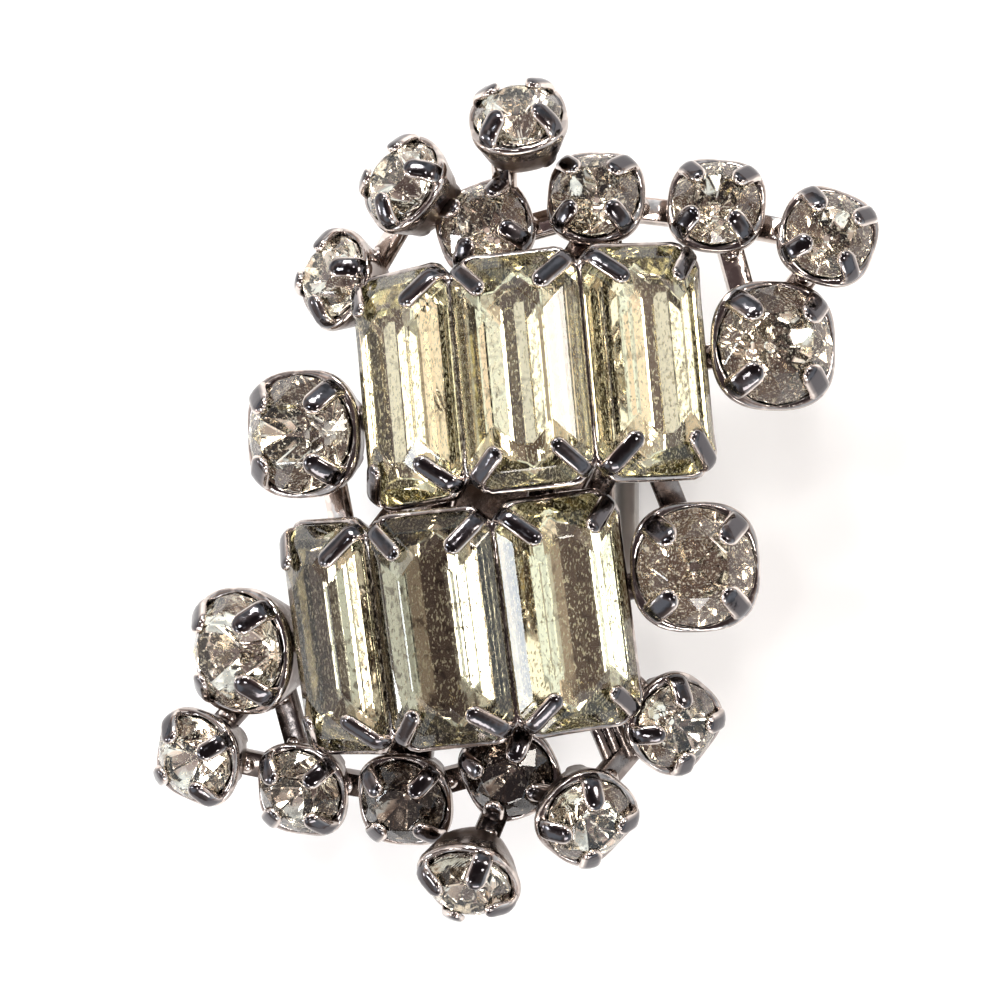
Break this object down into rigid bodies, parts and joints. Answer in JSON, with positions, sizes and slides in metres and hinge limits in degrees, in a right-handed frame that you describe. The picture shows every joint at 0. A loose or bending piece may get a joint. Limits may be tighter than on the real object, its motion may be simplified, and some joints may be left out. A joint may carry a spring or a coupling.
{
  "type": "clip on earring",
  "caption": "Domed clip on earring with two rows of baguette stones, round stones in prong cups round them, and a plain clip behind for the ear lobe.",
  "frame": {"origin": "middle of the flat back of the clip's paddle, which the earring rests on", "axes": "+Z out of the ear towards the stones, +Y up the ear as worn, +X to the viewer's right"},
  "size_m": [0.0342, 0.0382, 0.0154],
  "materials": {
    "setting_metal": "dark rhodium-coloured plating, bright on the edges, brown in the recesses",
    "clip_metal": "plated steel, fine wear",
    "baguette_glass": "step-cut foiled glass, pale champagne yellow, speckled foil",
    "round_glass": "faceted foiled crystal, clear with a grey-yellow cast"
  },
  "bodies": {
    "root": {"setting": "setting_metal", "ear_clip": "clip_metal", "baguette_upper_left": "baguette_glass", "baguette_upper_middle": "baguette_glass", "baguette_upper_right": "baguette_glass", "baguette_lower_left": "baguette_glass", "baguette_lower_middle": "baguette_glass", "baguette_lower_right": "baguette_glass", "chaton_upper_tip": "round_glass", "chaton_upper_wing": "round_glass", "chaton_upper_bridge": "round_glass", "chaton_upper_crest": "round_glass", "chaton_upper_peak": "round_glass", "chaton_upper_fan": "round_glass", "chaton_upper_shoulder": "round_glass", "chaton_upper_flank": "round_glass", "chaton_upper_end": "round_glass", "chaton_lower_tip": "round_glass", "chaton_lower_wing": "round_glass", "chaton_lower_bridge": "round_glass", "chaton_lower_crest": "round_glass", "chaton_lower_peak": "round_glass", "chaton_lower_fan": "round_glass", "chaton_lower_shoulder": "round_glass", "chaton_lower_flank": "round_glass", "chaton_lower_end": "round_glass"}
  },
  "joints": []
}
